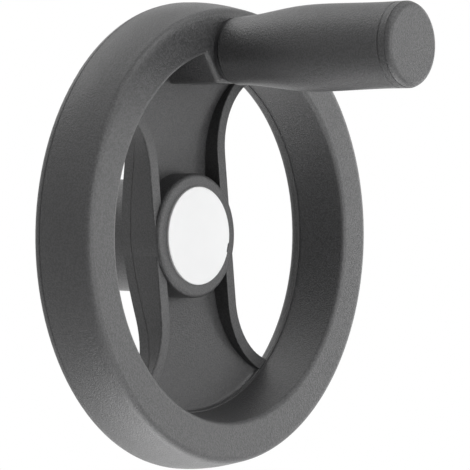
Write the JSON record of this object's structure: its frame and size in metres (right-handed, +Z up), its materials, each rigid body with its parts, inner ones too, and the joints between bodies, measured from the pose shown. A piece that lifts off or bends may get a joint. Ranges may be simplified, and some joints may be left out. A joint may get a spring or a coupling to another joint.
{
  "type": "machine handwheel",
  "caption": "Machine handwheel with a hollow rim, ribbed spokes, a capped hub on a steel bush and a revolving grip on the rim.",
  "frame": {"origin": "centre of the shaft bore on the rear face of the hub", "axes": "+Y along the bore out of the rear of the hub, towards the machine; the front looks towards -Y; +Z up, with the revolving grip on top"},
  "size_m": [0.125, 0.0975, 0.125],
  "materials": {
    "moulding": "fine matte moulded grain, black-grey glass-filled polyamide",
    "grip": "fine matte moulded grain, black-grey polyamide",
    "cap": "smooth satin, very light grey",
    "washer": "smooth black acetal",
    "bush_steel": "turned, chemically blackened",
    "spindle_steel": "turned, zinc plated",
    "insert_brass": "turned"
  },
  "bodies": {
    "wheel": {"wheel_body": "moulding", "rim_shell": "moulding", "hub_bush": "bush_steel", "hub_cap": "cap", "spindle_insert": "insert_brass", "thrust_washer": "washer", "grip_spindle": "spindle_steel"},
    "grip": {"grip_sleeve": "grip", "grip_end_cap": "grip"}
  },
  "joints": [
    {"name": "grip_spin", "type": "hinge", "parent": "wheel", "child": "grip", "pos_m": [0, -0.041, 0.049], "axis": [0, -1, 0], "continuous": true}
  ]
}
